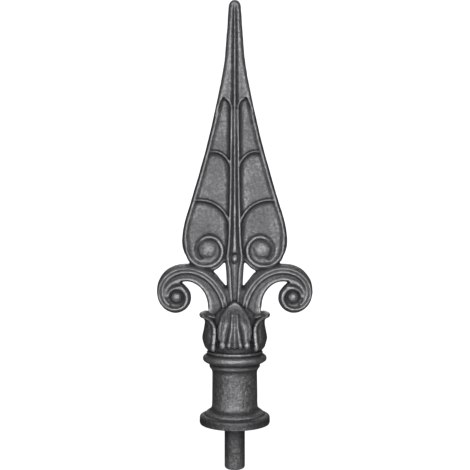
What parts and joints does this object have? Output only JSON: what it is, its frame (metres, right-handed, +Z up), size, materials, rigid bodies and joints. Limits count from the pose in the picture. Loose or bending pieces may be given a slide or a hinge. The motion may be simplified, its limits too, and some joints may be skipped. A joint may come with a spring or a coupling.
{
  "type": "fence spear finial",
  "caption": "Cast spear finial for a railing post: ribbed leaf-shaped blade with volutes, two side scrolls, a leaf calyx and a turned base with a flange and a spigot.",
  "frame": {"origin": "centre of the spigot's flat end", "axes": "+Z up along the spigot and shaft to the blade's tip; +X across the blade; the front face looks along -Y"},
  "size_m": [0.1104, 0.05, 0.332],
  "materials": {
    "cast_iron": "satin graphite grey over a fine sand-cast surface, darker in the recesses"
  },
  "bodies": {
    "root": {"finial_casting": "cast_iron"}
  },
  "joints": []
}
